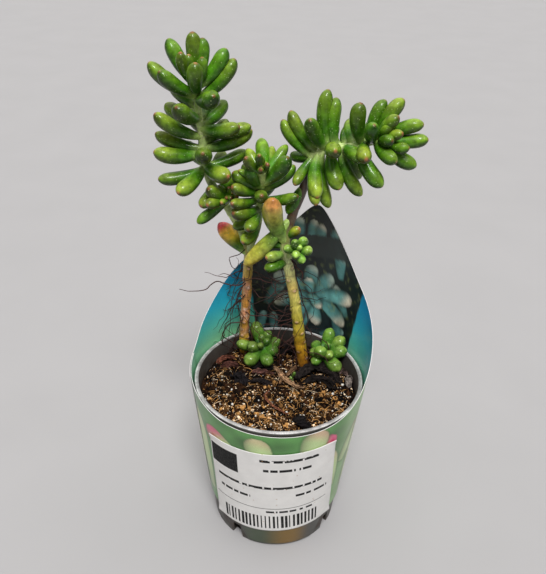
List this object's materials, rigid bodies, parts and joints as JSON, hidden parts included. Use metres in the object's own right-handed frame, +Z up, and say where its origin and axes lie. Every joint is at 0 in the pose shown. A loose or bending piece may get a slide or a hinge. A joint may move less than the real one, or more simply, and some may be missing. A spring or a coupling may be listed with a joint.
{
  "type": "potted sedum",
  "caption": "Young jelly-bean sedum with leggy stems and finger leaves, in a tapered plastic nursery pot with a printed wrap that rises as a pointed tag and a paper label.",
  "frame": {"origin": "middle of the pot's flat underside, on the surface it stands on", "axes": "+Z up along the pot's axis, -Y towards the front with the label, +X to the viewer's right"},
  "size_m": [0.1125, 0.0877, 0.2327],
  "materials": {
    "pot_plastic": "satin grey",
    "soil": "crumbly peat mix",
    "printed_card": "printed sheet, semi-gloss",
    "label_paper": "matte white",
    "red_bark": "thin smooth bark",
    "olive_bark": "thin smooth bark",
    "leaf": "waxy, satin",
    "young_leaf": "waxy, satin"
  },
  "bodies": {
    "root": {"pot": "pot_plastic", "soil": "soil", "wrap": "printed_card", "label": "label_paper", "left_stem": "red_bark", "right_stem": "olive_bark", "left_shoot": "leaf", "middle_shoot": "leaf", "side_shoot": "leaf", "right_shoot": "leaf", "stem_rosette": "young_leaf", "left_rosette": "young_leaf", "right_rosette": "young_leaf", "sprout": "young_leaf"}
  },
  "joints": []
}
